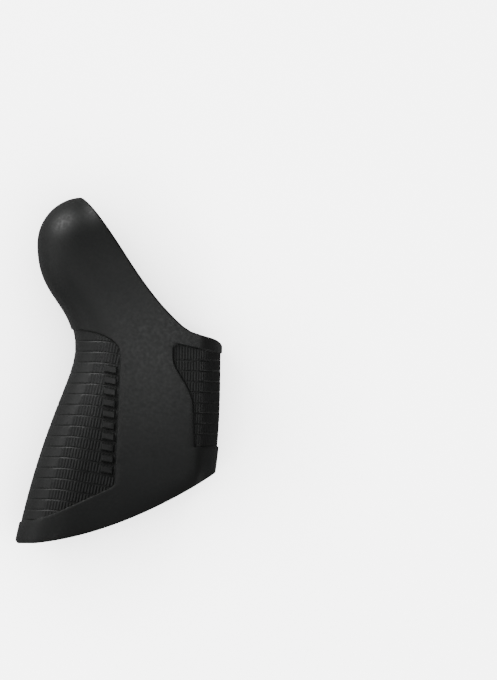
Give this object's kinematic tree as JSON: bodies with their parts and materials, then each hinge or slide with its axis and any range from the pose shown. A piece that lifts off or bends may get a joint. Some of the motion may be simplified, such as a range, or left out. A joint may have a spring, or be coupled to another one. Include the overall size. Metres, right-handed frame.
{
  "type": "brake lever hood",
  "caption": "Moulded rubber sleeve for a road brake lever body, with a tall closed horn, open front and rear ends and sunk, grooved grip panels.",
  "frame": {"origin": "Centre of the bounding box in X and Y, on the plane that the hood's flank lies on.", "axes": "+Y towards the top of the horn, along the length; +X from the palm ridge to the finger side; +Z through the width, up from the flank it lies on to the outboard flank."},
  "size_m": [0.0754, 0.126, 0.037],
  "materials": {
    "rubber": "matte black moulded rubber with a fine grain"
  },
  "bodies": {
    "root": {"hood_shell": "rubber"}
  },
  "joints": []
}
